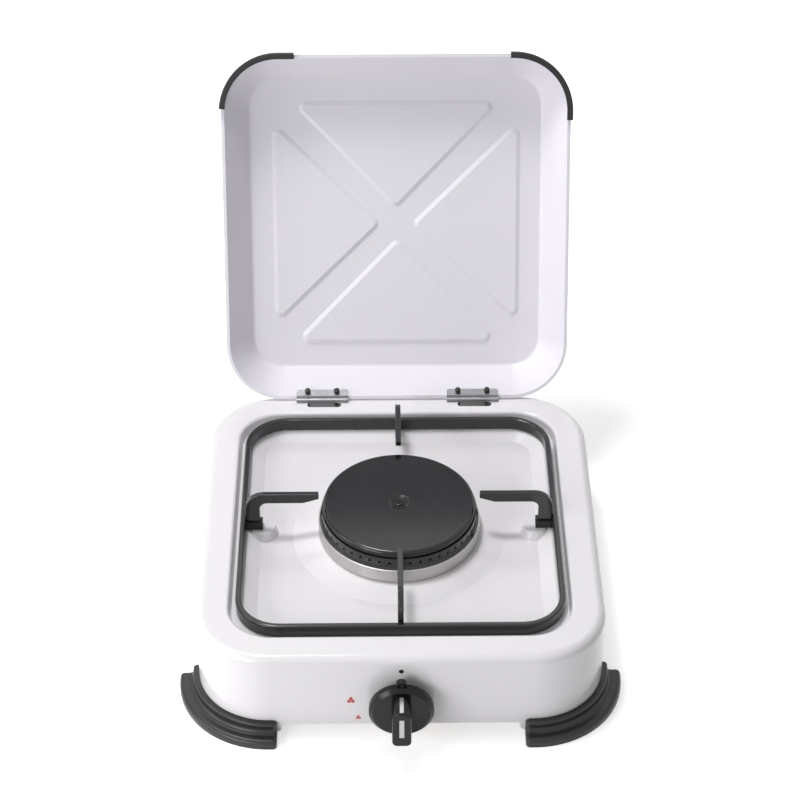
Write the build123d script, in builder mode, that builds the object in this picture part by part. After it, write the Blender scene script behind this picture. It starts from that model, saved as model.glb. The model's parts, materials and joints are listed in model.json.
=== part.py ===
"""Single burner gas stove with a fold-up lid, each piece a solid of its own in one frame.

Millimetres, +Z up.  The origin is on the table under the middle of the body.  The front, with the
knob, looks along -Y, and +X is to the right of someone who faces the front.  The lid stands open.
"""
import os
from math import atan2, cos, degrees, radians, sin

from build123d import *

os.makedirs("parts", exist_ok=True)

# Clearances
fit_gap = 0.15       # slots that hold the edge of a sheet
run_gap = 0.05       # round a pin or stem that turns in its bore
lift_gap = 0.5       # round a piece that lifts out by hand
stop_gap = 0.1       # between a moving piece and the face that stops it
near = 0.01          # edges and corners this close to a place are taken to be on it

# Body, one deep pressing of enamelled sheet, open underneath
body_width = 280.0
body_depth = 285.0
body_corner = 50.0
body_top = 71.0
body_edge = 6.0      # radius along the top edge
sheet = 0.8
wall_foot = 10.0     # height of the wall's lower edge between the feet
lobe_spare = 3.5     # how far the lower lobes of the wall run on past the feet
lobe_round = 4.0
lobe_root = 2.5      # hollow where a lobe meets the wall's lower edge
rim_width = 22.5
rim_round = 2.5
recess_corner = 30.0
recess_draft = 12.0
ledge_drop = 8.0     # from the rim to the ledge that carries the pan support
ledge_width = 9.5
ledge_corner = 6.0   # how much tighter the tray's corners are than the recess
tray_drop = 13.5     # from the rim to the tray's floor
tray_draft = 60.0
cone_run = 17.0      # length of the low cone round the burner
cone_rise = 3.2
boss_inset = 12.0    # from the frame's inside to the bosses under two of the prongs
boss_base = 11.0
boss_rise = 6.0
boss_draft = 25.0
recess_width = body_width - 2 * rim_width
recess_depth = body_depth - 2 * rim_width
tray_width = recess_width - 2 * ledge_width
tray_depth = recess_depth - 2 * ledge_width
tray_corner = recess_corner - ledge_corner
ledge_z = body_top - ledge_drop
floor_z = body_top - tray_drop
cone_draft = degrees(atan2(cone_run, cone_rise))
front_y = -body_depth / 2
rear_y = body_depth / 2

# Feet, one moulding on each corner: the front pair flare out, the rear pair are plain
foot_straight = 5.5  # straight length along each wall, past the round corner
foot_top = 14.0
foot_lip = 4.4       # thickness of the upright against the wall
foot_flare = 14.0    # how far the base stands out from the wall
flare_top = 6.2
flare_round = 3.2
flare_hollow = 3.4
sole_round = 1.2
foot_top_round = 2.0
foot_end_round = 3.0
plain_end_round = 1.6
groove_floor = 3.0   # the sheet's edge stands on this
inner_lip = 3.0
inner_lip_top = 5.5
foot_screw_z = 9.3
foot_screw = 1.4
foot_screw_head = 3.0
foot_screw_bite = 3.2
foot_reach = body_corner + foot_straight
lobe_reach = foot_reach + lobe_spare

# Gas inlet line: the tap, mixing tube and hose spigot share its height
knob_z = 32.5

# Burner
ring_radius = 57.6
ring_apron = 1.4     # flat of the tray outside the ring
ring_proud = 1.0     # above the body's rim
ring_wall = 1.5
bowl_wall = 2.0
bowl_flange = 9.3    # width of the flange on the tray, inside the ring
neck_gap = 0.7       # round the neck, in the tray's hole
throat_radius = 18.0
throat_wall = 3.0
bowl_depth = 13.7    # from the tray down to the throat
throat_drop = 14.5   # from the mixing tube's middle to the throat's foot
bowl_screw = 1.9
bowl_screw_head = 3.2
bowl_nut = 3.6
crown_step = 1.0     # from the ring to the crown's shoulder
crown_taper = 1.6    # from the shoulder in to the band
crown_wall = 6.0
crown_rise = 8.6     # above the ring
skirt_drop = 6.5     # below the ring's top
port_count = 48
port_width = 2.8
port_height = 2.6
port_drop = 2.4      # from the crown's top to a port's point
cap_step = 1.0       # from the band to the cap's edge
cap_rise = 5.2       # above the crown
cap_rim = 4.3
cap_lip = 2.0        # how far the cap's edge stands out from its neck
cap_plate = 3.0
cap_round = 2.4
dish_radius = 7.6    # dish pressed in the cap's middle
dish_floor = 5.6
dish_depth = 1.0
dish_round = 0.7
button_radius = 3.4  # crossed button left standing in the dish
button_round = 0.8
cross_length = 4.2
cross_width = 0.8
cross_depth = 0.5
cone_top = ring_radius + ring_apron
cone_foot = cone_top + cone_run
neck_radius = ring_radius - ring_wall - bowl_flange
hole_radius = neck_radius + neck_gap
screw_circle = neck_radius + bowl_flange / 2
crown_shoulder = ring_radius - crown_step
crown_band = crown_shoulder - crown_taper
crown_bore = crown_band - crown_wall
cap_radius = crown_band - cap_step
cap_neck = cap_radius - cap_lip
bowl_seat = floor_z + cone_rise
ring_top = body_top + ring_proud
throat_top = bowl_seat - bowl_depth
throat_foot = knob_z - throat_drop
crown_top = ring_top + crown_rise
skirt_foot = ring_top - skirt_drop
cap_top = crown_top + cap_rise

# Pan support
frame_side = 4.5     # from the recess to the frame, left and right
frame_end = 7.0      # from the recess to the frame, front and rear
frame_spread = 1.0   # how much rounder the frame's corners are than the recess
frame_bar = 4.0
frame_height = 10.0
bar_round = 1.2
prong_rise = 8.8     # above the cap
prong_height = 8.0
prong_width = 10.0   # of the upright leg
prong_sheet = 4.0
prong_bend = 13.0
prong_inner_bend = 5.6
tip_gap = 3.0        # from the cap's edge to a prong's tip
tip_bevel = 11.0
tip_rise = 3.6
prong_round = 0.9
prong_edge = 0.7     # along the bar's long edges
boot_wall = 1.6
boot_floor = 1.5
boot_height = 6.0
frame_width = recess_width - 2 * frame_side
frame_depth = recess_depth - 2 * frame_end
frame_corner = recess_corner + frame_spread
boss_place = frame_width / 2 - frame_bar - boss_inset
prong_top = cap_top + prong_rise
prong_tip = cap_radius + tip_gap

# Knob and gas tap
knob_radius = 22.0
knob_gap = 6.7       # from the wall to the knob's back
knob_rim = 4.2
knob_bevel = 2.4
knob_skirt = 2.2
grip_width = 13.0
grip_height = 31.0
grip_lift = 1.6      # its middle above the knob's axis
grip_reach = 30.0    # from the wall to the grip's front
grip_top_corner = 6.2
grip_foot_corner = 3.5
grip_edge = 1.5
lug_radius = 3.6
lug_bore = 1.8
lug_lift = 1.3       # its middle outside the disc's edge
hub_radius = 9.0
hub_gap = 7.0        # from the wall to the hub's back
pointer_depth = 1.0
pointer_proud = 0.2
pointer_width = 3.2
pointer_length = 16.4
pointer_lift = 3.2   # its middle above the knob's axis
top_pointer_width = 2.6
top_pointer_length = 14.0
stem_radius = 3.0
stem_flat = 2.2
stem_reach = 21.0    # from the wall out into the knob
clip_sheet = 0.6
clip_width = 3.4
clip_length = 9.0
nose_radius = 5.5
nose_reach = 3.4
tap_flange = 10.0
tap_flange_wall = 3.2
tap_radius = 9.0
tap_back = 30.0      # from the wall's inside to the back of the tap
tap_boss = 6.0
tap_boss_length = 4.0
chamber_radius = 6.0
chamber_front = 10.0
chamber_back = 25.0
gas_bore = 1.5
nut_height = 3.0
tap_nut_size = 9.5
washer_radius = 5.2
washer_sheet = 1.0
washer_back = 14.5   # from the wall's inside to the washer's front
spring_outer = 4.6
spring_inner = 3.6
inlet_radius = 6.0
inlet_reach = 22.0
inlet_bore = 2.5
injector_thread = 3.0
injector_hex = 5.0
injector_hex_length = 5.0
injector_tip = 2.0
injector_tip_length = 3.0
injector_bore = 0.5

# Mixing tube, pipe and hose spigot
mouth_radius = 12.0
tube_throat = 8.5
tube_radius = 9.9
tube_wall = 1.2
mouth_gap = 7.0      # from the tap's back to the mouth
tube_straight = 24.0 # from the wide end to the burner's throat
bell_share = 3.0     # the bell mouth takes one part in so many of the taper
pipe_radius = 4.0
pipe_wall = 1.0
pipe_share = 4.0     # the pipe runs back at the body's width over this, from the middle
pipe_bend = 25.0
pipe_nut_size = 9.5
pipe_nut_lap = 6.0
spigot_flange = 9.5
spigot_flange_length = 5.0
spigot_land = 4.5
spigot_groove = 3.9
spigot_bore = 2.6
spigot_length = 26.0
spigot_land_length = 4.0
spigot_groove_length = 2.0
spigot_nose = 7.0
spigot_nut_height = 4.0
pipe_socket = 3.0
spigot_grooves = 3
pipe_x = body_width / pipe_share

# Lid, a shallow pressing with a narrow lip round its edge
lid_side = 11.6      # from the body's side to the lid's edge
lid_front = 15.15    # from the body's front to the closed lid's edge
lid_corner = 42.0
lid_lip = 1.4
lid_depth = 26.0
lid_inset = 17.4     # how far the skirt leans in over the depth
lid_crease = 3.5
lid_open = 112.0     # degrees from closed
panel_margin = 16.6  # from the crease to the four pressed triangles
panel_corner = 13.5  # from a triangle's corner to the diagonal
panel_apex = 11.0    # from the lid's middle
panel_press = 1.5
panel_draft = 64.0
panel_round = 5.5
guard_length = 93.0  # round the lip, from end to end, as reaches along the two edges
right_guard_front = 44.5
left_guard_front = 54.0
guard_cover = 2.8
guard_wall = 1.5
guard_upper = 1.5
guard_edge = 1.2

# Hinges
hinge_side = 83.0    # from the body's side to a hinge's middle
hinge_inset = 8.5    # from the body's rear to the hinge's axis
knuckle = 1.6
pin_radius = 0.9
leaf_sheet = 1.0
leaf_width = 39.0
leaf_length = 6.0
leaf_corner = 2.0
tongue_width = 19.0
tongue_drop = 21.0   # below the body's rim
knuckle_gap = 0.3
slot_length = 25.5
slot_shift = 1.5
slot_front = 4.9     # open part of the slot in front of the tongue
hinge_screw_pitch = 22.0
hinge_screw_run = 3.4
hinge_screw = 1.2
hinge_screw_head = 2.2
hinge_nut = 2.1
hinge_nut_height = 3.4
bracket_width = 24.0
bracket_drop = 7.0   # below the body's rim
bracket_height = 16.0
bracket_sheet = 1.2
hinge_x = body_width / 2 - hinge_side
hinge_y = rear_y - hinge_inset
hinge_z = body_top + knuckle + stop_gap
tongue_foot = body_top - tongue_drop
bracket_top = body_top - bracket_drop
bracket_foot = bracket_top - bracket_height
lid_rise = knuckle + run_gap
lid_rear = -0.35     # from the hinge's axis to the lid's rear edge
lid_width = body_width - 2 * lid_side
lid_length = hinge_y + lid_rear - front_y - lid_front
lid_mid = lid_rear - lid_length / 2
panel_base = min(lid_width, lid_length) / 2 - lid_lip - lid_inset - panel_margin
panel_half = panel_base - panel_corner
lid_draft = degrees(atan2(lid_inset, lid_depth))
wall_in = front_y + sheet
back_in = rear_y - sheet


def keep(piece, name):
    """Name a finished piece and write it out."""
    piece.part.label = name
    export_step(piece.part, f"parts/{name}.step")


# Body shell: the pressing is drawn twice, its outside and one sheet inside, and subtracted
def body_pressing(inset, lower):
    with BuildPart() as pressed:
        with BuildSketch(Plane.XY.offset(lower)):
            RectangleRounded(body_width - 2 * inset, body_depth - 2 * inset, body_corner - inset)
        extrude(amount=body_top - inset - lower)
        fillet(pressed.edges().group_by(Axis.Z)[-1], body_edge - inset)
        with BuildSketch(Plane.XY.offset(body_top - inset)):
            RectangleRounded(recess_width + 2 * inset, recess_depth + 2 * inset, recess_corner + inset)
        extrude(amount=-ledge_drop, taper=recess_draft, mode=Mode.SUBTRACT)
        with BuildSketch(Plane.XY.offset(ledge_z - inset)):
            RectangleRounded(tray_width + 2 * inset, tray_depth + 2 * inset, tray_corner + inset)
        extrude(amount=ledge_drop - tray_drop, taper=tray_draft, mode=Mode.SUBTRACT)
        with BuildSketch(Plane.XY.offset(floor_z - inset)):
            Circle(cone_foot)
        extrude(amount=cone_rise, taper=cone_draft)
        with BuildSketch(Plane.XY.offset(floor_z - inset)):
            with Locations((-boss_place, 0), (boss_place, 0)):
                Circle(boss_base - inset)
        extrude(amount=boss_rise, taper=boss_draft)
        at_rim = pressed.edges().filter_by_position(Axis.Z, body_top - inset - near, body_top - inset + near)
        inside = [e for e in at_rim if abs(e.center().X) < recess_width / 2 + rim_round
                  and abs(e.center().Y) < recess_depth / 2 + rim_round]
        fillet(inside, rim_round - inset)
    return pressed.part


with BuildPart() as body_shell:
    add(body_pressing(0, groove_floor))
    add(body_pressing(sheet, groove_floor - sheet), mode=Mode.SUBTRACT)
    with BuildSketch(Plane.XZ):
        Rectangle(body_width - 2 * lobe_reach, 2 * wall_foot)
    extrude(amount=body_depth, both=True, mode=Mode.SUBTRACT)
    with BuildSketch(Plane.YZ):
        Rectangle(body_depth - 2 * lobe_reach, 2 * wall_foot)
    extrude(amount=body_width, both=True, mode=Mode.SUBTRACT)
    at_foot = body_shell.edges().filter_by_position(Axis.Z, groove_floor - near, groove_floor + near)
    fillet([e for e in at_foot if e.length < 2 * sheet], lobe_round)
    at_edge = body_shell.edges().filter_by_position(Axis.Z, wall_foot - near, wall_foot + near)
    fillet([e for e in at_edge if e.length < 2 * sheet], lobe_root)
    with BuildSketch(Plane.XY.offset(floor_z)):
        Circle(hole_radius)
    extrude(amount=cone_rise, both=True, mode=Mode.SUBTRACT)
    with BuildSketch(Plane.XY.offset(floor_z)):
        with PolarLocations(screw_circle, 3, start_angle=90):
            Circle(bowl_screw + fit_gap)
    extrude(amount=2 * cone_rise, both=True, mode=Mode.SUBTRACT)
    with BuildSketch(Plane.XY.offset(body_top)):
        with Locations((-hinge_x + slot_shift, hinge_y - knuckle - slot_front / 2 + leaf_sheet / 2 + fit_gap),
                       (hinge_x + slot_shift, hinge_y - knuckle - slot_front / 2 + leaf_sheet / 2 + fit_gap)):
            RectangleRounded(slot_length, slot_front + leaf_sheet + 2 * fit_gap, rim_round)
    extrude(amount=-2 * sheet, mode=Mode.SUBTRACT)
    with BuildSketch(Plane.XZ.offset(-front_y)):
        with Locations((0, knob_z)):
            Circle(nose_radius + fit_gap)
    extrude(amount=-2 * sheet, mode=Mode.SUBTRACT)
    with BuildSketch(Plane.XZ.offset(-rear_y)):
        with Locations((pipe_x, knob_z)):
            Circle(nose_radius + fit_gap)
    extrude(amount=2 * sheet, mode=Mode.SUBTRACT)
    for corner_turn in (45, 135, 225, 315):
        turned = Plane.XY.rotated((0, 0, corner_turn))
        corner_x = (body_width / 2 - body_corner) * (1 if turned.x_dir.X > 0 else -1)
        corner_y = (body_depth / 2 - body_corner) * (1 if turned.x_dir.Y > 0 else -1)
        corner_hole = Plane(origin=(corner_x, corner_y, foot_screw_z), x_dir=(0, 0, 1), z_dir=turned.x_dir)
        with BuildSketch(corner_hole):
            Circle(foot_screw + fit_gap)
        extrude(amount=body_corner + sheet, mode=Mode.SUBTRACT)
keep(body_shell, "body_shell")


# Feet: a section carried round the corner, with a short straight length at each end
corner_centre = (-(body_width / 2 - body_corner), -(body_depth / 2 - body_corner))
screw_dir = Vector(-1, -1, 0).normalized()


inner_face = body_corner - sheet - fit_gap


def flared_section():
    """Upright lip against the wall, groove for the sheet's edge and a base that flares out."""
    with BuildSketch() as section:
        with BuildLine():
            Polyline((body_corner + fit_gap, groove_floor), (body_corner + fit_gap, foot_top),
                     (body_corner + foot_lip, foot_top), (body_corner + foot_lip, flare_top),
                     (body_corner + foot_flare, flare_top), (body_corner + foot_flare, 0),
                     (inner_face - inner_lip, 0), (inner_face - inner_lip, inner_lip_top),
                     (inner_face, inner_lip_top), (inner_face, groove_floor), close=True)
        make_face()
        at_flare = section.vertices().filter_by_position(Axis.X, body_corner + foot_flare - near,
                                                         body_corner + foot_flare + near)
        fillet(at_flare.sort_by(Axis.Y)[-1], flare_round)
        fillet(at_flare.sort_by(Axis.Y)[0], sole_round)
        at_lip = section.vertices().filter_by_position(Axis.X, body_corner + foot_lip - near,
                                                       body_corner + foot_lip + near)
        fillet(at_lip.sort_by(Axis.Y)[0], flare_hollow)
        at_top = section.vertices().filter_by_position(Axis.Y, foot_top - near, foot_top + near)
        fillet(at_top.sort_by(Axis.X)[-1], foot_top_round)
    return section.sketch


def plain_section():
    """The same lip and groove with no flare."""
    with BuildSketch() as section:
        with BuildLine():
            Polyline((body_corner + fit_gap, groove_floor), (body_corner + fit_gap, foot_top),
                     (body_corner + foot_lip, foot_top), (body_corner + foot_lip, 0),
                     (inner_face - inner_lip, 0), (inner_face - inner_lip, inner_lip_top),
                     (inner_face, inner_lip_top), (inner_face, groove_floor), close=True)
        make_face()
        outside = section.vertices().filter_by_position(Axis.X, body_corner + foot_lip - near,
                                                        body_corner + foot_lip + near)
        fillet(outside.sort_by(Axis.Y)[-1], foot_top_round)
        fillet(outside.sort_by(Axis.Y)[0], sole_round)
    return section.sketch


def corner_foot(section, stand_out, end_round):
    """A foot on the front left corner, whose section stands out so far from the wall."""
    with BuildPart() as foot:
        with BuildSketch(Plane(origin=(*corner_centre, 0), x_dir=(-1, 0, 0), z_dir=(0, 1, 0))):
            add(section)
        revolve(axis=Axis((*corner_centre, 0), (0, 0, 1)), revolution_arc=90)
        with BuildSketch(Plane(origin=(*corner_centre, 0), x_dir=(-1, 0, 0), z_dir=(0, 1, 0))):
            add(section)
        extrude(amount=foot_reach - body_corner)
        with BuildSketch(Plane(origin=(*corner_centre, 0), x_dir=(0, -1, 0), z_dir=(-1, 0, 0))):
            add(section)
        extrude(amount=body_corner - foot_reach)
        outer_x = corner_centre[0] - body_corner - stand_out
        outer_y = corner_centre[1] - body_corner - stand_out
        upright = foot.edges().filter_by(Axis.Z)
        ends = [e for e in upright if abs(e.center().X - outer_x) < near
                or abs(e.center().Y - outer_y) < near]
        fillet([e for e in ends if e.center().X > corner_centre[0] + near
                or e.center().Y > corner_centre[1] + near], end_round)
        with BuildSketch(Plane(origin=(*corner_centre, foot_screw_z), x_dir=(0, 0, 1), z_dir=screw_dir)):
            Circle(foot_screw + run_gap)
        extrude(amount=inner_face + sheet + 3 * fit_gap + foot_screw_bite, mode=Mode.SUBTRACT)
    return foot.part


flared_foot = corner_foot(flared_section(), foot_flare, foot_end_round)
plain_foot = corner_foot(plain_section(), foot_lip, plain_end_round)

with BuildPart() as foot_screw_one:
    with BuildSketch(Plane(origin=(*corner_centre, foot_screw_z), x_dir=(0, 0, 1), z_dir=screw_dir)
                     .offset(body_corner - sheet - stop_gap)):
        Circle(foot_screw)
    extrude(amount=sheet + stop_gap + fit_gap + foot_screw_bite)
    with BuildSketch(Plane(origin=(*corner_centre, foot_screw_z), x_dir=(0, 0, 1), z_dir=screw_dir)
                     .offset(body_corner - sheet - stop_gap)):
        Circle(foot_screw_head)
    extrude(amount=-foot_screw_head / 2)
    fillet(foot_screw_one.edges().sort_by(Axis((*corner_centre, 0), screw_dir))[0], foot_screw_head / 3)

with BuildPart() as foot_front_left:
    add(flared_foot)
keep(foot_front_left, "foot_front_left")

with BuildPart() as foot_front_right:
    mirror(flared_foot, about=Plane.YZ)
keep(foot_front_right, "foot_front_right")

with BuildPart() as foot_rear_left:
    mirror(plain_foot, about=Plane.XZ)
keep(foot_rear_left, "foot_rear_left")

with BuildPart() as foot_rear_right:
    mirror(foot_rear_left.part, about=Plane.YZ)
keep(foot_rear_right, "foot_rear_right")

with BuildPart() as foot_screws:
    add(foot_screw_one.part)
    mirror(about=Plane.YZ)
    mirror(about=Plane.XZ)
keep(foot_screws, "foot_screws")


# Burner bowl: bright ring, flange on the tray, cone and throat in one casting
with BuildPart() as burner_bowl:
    with BuildSketch(Plane.XZ):
        with BuildLine():
            Polyline((ring_radius, bowl_seat), (ring_radius, ring_top), (ring_radius - ring_wall, ring_top),
                     (ring_radius - ring_wall, bowl_seat + bowl_wall), (neck_radius, bowl_seat + bowl_wall),
                     (throat_radius - throat_wall, throat_top + bowl_wall),
                     (throat_radius - throat_wall, throat_foot + throat_wall), (0, throat_foot + throat_wall),
                     (0, throat_foot), (throat_radius, throat_foot), (throat_radius, throat_top),
                     (neck_radius, bowl_seat - bowl_wall), (neck_radius, bowl_seat), close=True)
        make_face()
    revolve(axis=Axis.Z)
    top_ring = burner_bowl.edges().filter_by_position(Axis.Z, ring_top - near, ring_top + near)
    fillet(top_ring, ring_wall / 3)
    with BuildSketch(Plane.XZ):
        with Locations((0, knob_z)):
            Circle(tube_radius + run_gap)
    extrude(amount=throat_radius + throat_wall, mode=Mode.SUBTRACT)
    with BuildSketch(Plane.XY.offset(bowl_seat)):
        with PolarLocations(screw_circle, 3, start_angle=90):
            Circle(bowl_screw + fit_gap)
    extrude(amount=2 * bowl_wall, mode=Mode.SUBTRACT)
keep(burner_bowl, "burner_bowl")

with BuildPart() as bowl_screws:
    with BuildSketch(Plane.XY.offset(bowl_seat + bowl_wall)):
        with PolarLocations(screw_circle, 3, start_angle=90):
            Circle(bowl_screw)
    extrude(amount=-bowl_wall - sheet - bowl_nut - run_gap)
    with BuildSketch(Plane.XY.offset(bowl_seat + bowl_wall)):
        with PolarLocations(screw_circle, 3, start_angle=90):
            Circle(bowl_screw_head)
    extrude(amount=bowl_screw)
keep(bowl_screws, "bowl_screws")

with BuildPart() as bowl_nuts:
    with BuildSketch(Plane.XY.offset(bowl_seat - sheet)):
        with PolarLocations(screw_circle, 3, start_angle=90):
            RegularPolygon(bowl_nut, 6)
            Circle(bowl_screw + run_gap, mode=Mode.SUBTRACT)
    extrude(amount=-bowl_screw_head)
keep(bowl_nuts, "bowl_nuts")


# Crown: the ring of flame ports that drops into the bowl
with BuildPart() as burner_port:
    with BuildSketch(Plane.YZ.offset(crown_bore - lift_gap)):
        with BuildLine():
            Polyline((-port_width / 2, crown_top - port_drop - port_height),
                     (port_width / 2, crown_top - port_drop - port_height), (0, crown_top - port_drop),
                     close=True)
        make_face()
    extrude(amount=crown_shoulder - crown_bore + 2 * lift_gap)

with BuildPart() as burner_crown:
    with BuildSketch(Plane.XZ):
        with BuildLine():
            Polyline((crown_bore, skirt_foot), (ring_radius - ring_wall - lift_gap, skirt_foot),
                     (ring_radius - ring_wall - lift_gap, ring_top), (crown_shoulder, ring_top),
                     (crown_band, ring_top + ring_wall), (crown_band, crown_top), (crown_bore, crown_top),
                     close=True)
        make_face()
    revolve(axis=Axis.Z)
    with PolarLocations(0, port_count):
        add(burner_port.part, mode=Mode.SUBTRACT)
keep(burner_crown, "burner_crown")


# Cap: enamelled disc on the crown, with a dish and a crossed button in its middle
with BuildPart() as burner_cap:
    with BuildSketch(Plane.XZ):
        with BuildLine():
            Polyline((0, cap_top - cap_plate), (crown_bore - 2 * lift_gap - bowl_wall, cap_top - cap_plate),
                     (crown_bore - 2 * lift_gap - bowl_wall, crown_top - cap_plate),
                     (crown_bore - lift_gap, crown_top - cap_plate), (crown_bore - lift_gap, crown_top),
                     (cap_neck, crown_top), (cap_neck, cap_top - cap_rim), (cap_radius, cap_top - cap_rim),
                     (cap_radius, cap_top), (0, cap_top), close=True)
        make_face()
    revolve(axis=Axis.Z)
    cap_edges = burner_cap.edges().filter_by(GeomType.CIRCLE)
    fillet(cap_edges.filter_by_position(Axis.Z, cap_top - near, cap_top + near), cap_round)
    with BuildSketch(Plane.XZ):
        with BuildLine():
            Polyline((button_radius, cap_top), (button_radius, cap_top - dish_depth),
                     (dish_floor, cap_top - dish_depth), (dish_radius, cap_top), close=True)
        make_face()
    revolve(axis=Axis.Z, mode=Mode.SUBTRACT)
    rings = burner_cap.edges().filter_by(GeomType.CIRCLE)
    rings = rings.filter_by_position(Axis.Z, cap_top - near, cap_top + near).sort_by(SortBy.RADIUS)
    fillet(rings[0], button_round)
    rings = burner_cap.edges().filter_by(GeomType.CIRCLE)
    rings = rings.filter_by_position(Axis.Z, cap_top - near, cap_top + near).sort_by(SortBy.RADIUS)
    fillet([e for e in rings if abs(e.radius - dish_radius) < near], dish_round)
    with BuildSketch(Plane.XY.offset(cap_top)):
        Rectangle(cross_length, cross_width)
        Rectangle(cross_width, cross_length)
    extrude(amount=-cross_depth, mode=Mode.SUBTRACT)
keep(burner_cap, "burner_cap")


# Pan support: a frame on the ledge and four prongs that reach in over the burner
with BuildPart() as pan_frame:
    with BuildSketch(Plane.XY.offset(ledge_z)):
        RectangleRounded(frame_width, frame_depth, frame_corner)
        RectangleRounded(frame_width - 2 * frame_bar, frame_depth - 2 * frame_bar, frame_corner - frame_bar,
                         mode=Mode.SUBTRACT)
    extrude(amount=frame_height)
    fillet(pan_frame.edges().group_by(Axis.Z)[-1], bar_round)
    fillet(pan_frame.edges().group_by(Axis.Z)[0], bar_round)
keep(pan_frame, "pan_frame")

side_leg = frame_width / 2 - frame_bar
end_leg = frame_depth / 2 - frame_bar
boot_seat = floor_z + boss_rise


def prong(turn, leg_outer, leg_foot):
    """A flat bar bent over from the frame, standing on leg_foot and turned round the burner."""
    leg_inner = leg_outer - prong_width
    with BuildPart() as bar:
        with BuildSketch(Plane.XZ.rotated((0, 0, turn)).offset(-prong_sheet / 2)) as side:
            with BuildLine():
                Polyline((prong_tip, prong_top), (leg_outer, prong_top), (leg_outer, leg_foot),
                         (leg_inner, leg_foot), (leg_inner, prong_top - prong_height),
                         (prong_tip + tip_bevel, prong_top - prong_height),
                         (prong_tip, prong_top - prong_height + tip_rise), close=True)
            make_face()
            fillet(side.vertices().sort_by(lambda v: -v.X - v.Y)[0], prong_bend)
            bend = [v for v in side.vertices() if abs(v.X - leg_inner) < near
                    and abs(v.Y - prong_top + prong_height) < near]
            fillet(bend, prong_inner_bend)
            tip = [v for v in side.vertices() if abs(v.X - prong_tip) < near]
            fillet(tip, prong_round)
        extrude(amount=prong_sheet)
        outward = Vector(cos(radians(turn)), sin(radians(turn)), 0)
        flats = bar.faces().filter_by(Plane.XZ.rotated((0, 0, turn)))
        round_from = ledge_z + frame_height + prong_edge
        long_edges = [e for e in flats.edges() if e.center().Z > round_from
                      and e.center().dot(outward) < leg_outer - near]
        fillet(long_edges, prong_edge)
    return bar


boot_top = boot_seat + boot_floor
for prong_name, turn, leg_outer, leg_foot in (("prong_right", 0, side_leg, boot_top),
                                              ("prong_rear", 90, end_leg, ledge_z),
                                              ("prong_left", 180, side_leg, boot_top),
                                              ("prong_front", 270, end_leg, ledge_z)):
    keep(prong(turn, leg_outer, leg_foot), prong_name)

leg_inner = side_leg - prong_width
with BuildPart() as pan_boots:
    with BuildSketch(Plane.XY.offset(boot_seat)):
        with Locations((leg_inner - boot_wall, 0)):
            Rectangle(prong_width + boot_wall - fit_gap, prong_sheet + 2 * boot_wall,
                      align=(Align.MIN, Align.CENTER))
    extrude(amount=boot_height)
    with BuildSketch(Plane.XY.offset(boot_top)):
        with Locations((leg_inner, 0)):
            Rectangle(prong_width, prong_sheet, align=(Align.MIN, Align.CENTER))
    extrude(amount=boot_height, mode=Mode.SUBTRACT)
    mirror(about=Plane.YZ)
keep(pan_boots, "pan_boots")


# Gas tap: nose through the front wall, flange behind it, nut in front, inlet to the right
knob_axis = Axis((0, 0, knob_z), (0, 1, 0))
across = Plane.XY.offset(knob_z)
tap_end = wall_in + tap_back
inlet_y = wall_in + (chamber_front + chamber_back) / 2
with BuildPart() as tap_body:
    with BuildSketch(across):
        with BuildLine():
            Polyline((0, front_y - nose_reach), (nose_radius, front_y - nose_reach), (nose_radius, wall_in),
                     (tap_flange, wall_in), (tap_flange, wall_in + tap_flange_wall),
                     (tap_radius, wall_in + tap_flange_wall), (tap_radius, tap_end), (tap_boss, tap_end),
                     (tap_boss, tap_end + tap_boss_length), (0, tap_end + tap_boss_length), close=True)
        make_face()
    revolve(axis=knob_axis)
    with BuildSketch(Plane.YZ):
        with Locations((inlet_y, knob_z)):
            Circle(inlet_radius)
    extrude(amount=inlet_reach)
    with BuildSketch(across):
        with BuildLine():
            Polyline((0, front_y - nose_reach), (stem_radius + run_gap, front_y - nose_reach),
                     (stem_radius + run_gap, wall_in + chamber_front),
                     (chamber_radius, wall_in + chamber_front),
                     (chamber_radius, wall_in + chamber_back), (gas_bore, wall_in + chamber_back),
                     (gas_bore, tap_end), (injector_thread + run_gap, tap_end),
                     (injector_thread + run_gap, tap_end + tap_boss_length), (0, tap_end + tap_boss_length),
                     close=True)
        make_face()
    revolve(axis=knob_axis, mode=Mode.SUBTRACT)
    with BuildSketch(Plane.YZ):
        with Locations((inlet_y, knob_z)):
            Circle(inlet_bore)
    extrude(amount=inlet_reach, mode=Mode.SUBTRACT)
keep(tap_body, "tap_body")

with BuildPart() as tap_nut:
    with BuildSketch(Plane.XZ.offset(-front_y)):
        with Locations((0, knob_z)):
            RegularPolygon(tap_nut_size, 6)
            Circle(nose_radius + run_gap, mode=Mode.SUBTRACT)
    extrude(amount=nut_height)
keep(tap_nut, "tap_nut")

with BuildPart() as tap_stem:
    with BuildSketch(Plane.XZ.offset(-wall_in - washer_back)):
        with Locations((0, knob_z)):
            Circle(stem_radius)
    extrude(amount=sheet + washer_back + stem_reach)
    with BuildSketch(Plane.XZ.offset(-front_y + stem_reach)):
        with Locations((0, knob_z + stem_flat)):
            Rectangle(2 * stem_radius, stem_radius, align=(Align.CENTER, Align.MIN))
    extrude(amount=hub_gap - stem_reach, mode=Mode.SUBTRACT)
keep(tap_stem, "tap_stem")

with BuildPart() as thrust_washer:
    with BuildSketch(Plane.XZ.offset(-wall_in - washer_back)):
        with Locations((0, knob_z)):
            Circle(washer_radius)
    extrude(amount=-washer_sheet)
keep(thrust_washer, "thrust_washer")

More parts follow.
